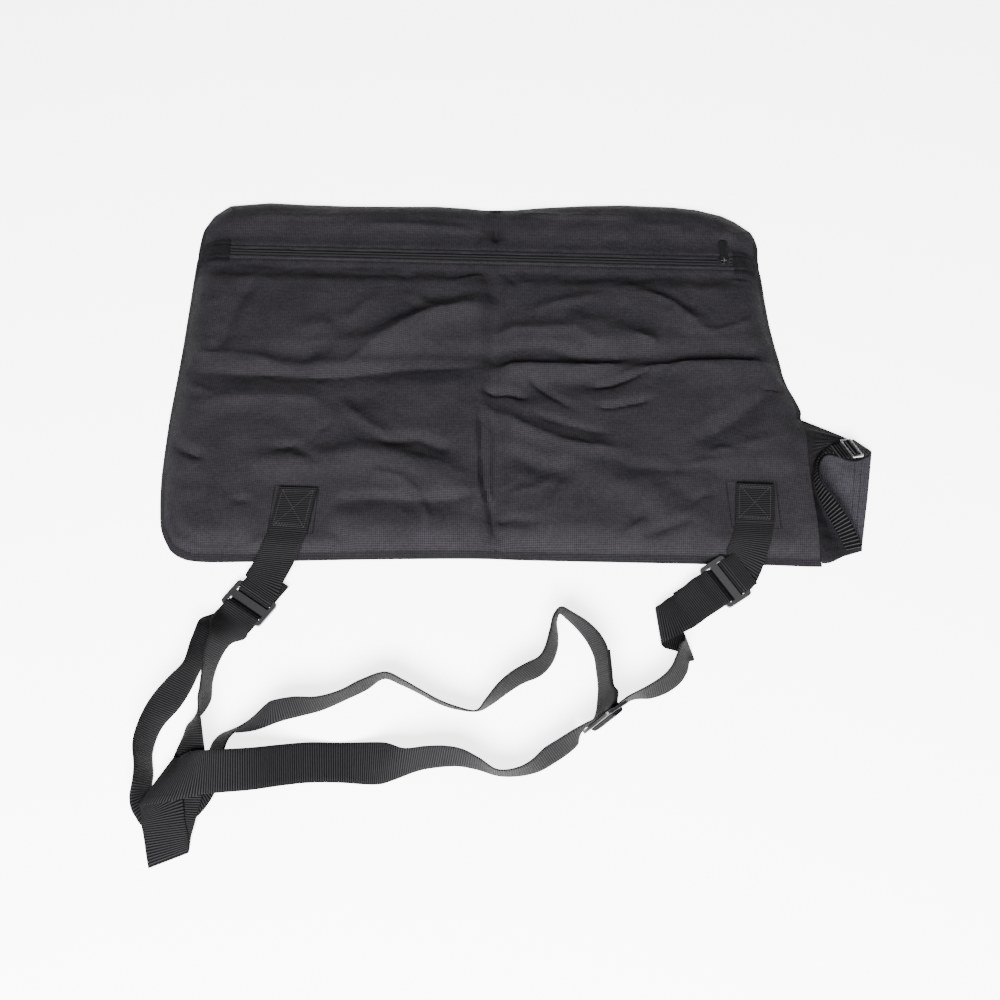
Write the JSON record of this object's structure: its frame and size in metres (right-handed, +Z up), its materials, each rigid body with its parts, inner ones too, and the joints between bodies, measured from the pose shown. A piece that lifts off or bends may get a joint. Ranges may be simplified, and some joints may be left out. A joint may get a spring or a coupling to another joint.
{
  "type": "garden vacuum collection bag",
  "caption": "Black fabric leaf collection bag lying flat, with a zip along its top, a cinched inlet neck at the lower right and a long twisted webbing shoulder strap.",
  "frame": {"origin": "middle of the back panel's underside, on the ground", "axes": "+X towards the neck, +Y towards the zip, +Z up out of the front panel"},
  "size_m": [0.7223, 0.7606, 0.0538],
  "materials": {
    "fabric_dark": "coated plain weave polyester, soft sheen",
    "fabric_inner": "plain weave polyester, matt",
    "webbing_black": "ribbed polypropylene webbing, matt",
    "zip_tape_black": "woven tape, matt",
    "zip_coil_black": "nylon, soft gloss",
    "slider_black": "black enamel on zinc, glossy",
    "buckle_plastic": "moulded acetal, glossy",
    "buckle_metal": "plated steel, bright"
  },
  "bodies": {
    "bag": {"back_panel": "fabric_dark", "front_panel_lower": "fabric_dark", "front_panel_upper": "fabric_dark", "zip_end_patch_left": "fabric_dark", "zip_end_patch_right": "fabric_dark", "tab_backing_left": "fabric_inner", "tab_backing_right": "fabric_inner", "zip_tape_lower": "zip_tape_black", "zip_tape_upper": "zip_tape_black", "zip_coil_lower": "zip_coil_black", "zip_coil_upper": "zip_coil_black", "left_buckle": "buckle_plastic", "middle_buckle": "buckle_plastic", "right_buckle": "buckle_plastic", "left_tab_strap": "webbing_black", "right_tab_strap": "webbing_black", "shoulder_strap": "webbing_black", "neck_sleeve": "fabric_inner", "neck_strap": "webbing_black", "neck_strap_tail": "webbing_black", "neck_buckle": "buckle_metal"},
    "slider": {"zip_slider": "slider_black"},
    "pull": {"zip_pull": "slider_black"}
  },
  "joints": [
    {"name": "zip_slide", "type": "slide", "parent": "bag", "child": "slider", "axis": [0.9995, -0.0307, 0], "range_m": [-0.53, 0]},
    {"name": "pull_hinge", "type": "hinge", "parent": "slider", "child": "pull", "pos_m": [0.27012, 0.1337, 0.0197], "axis": [0.9995, -0.0307, 0], "range_deg": [0, 165]}
  ]
}
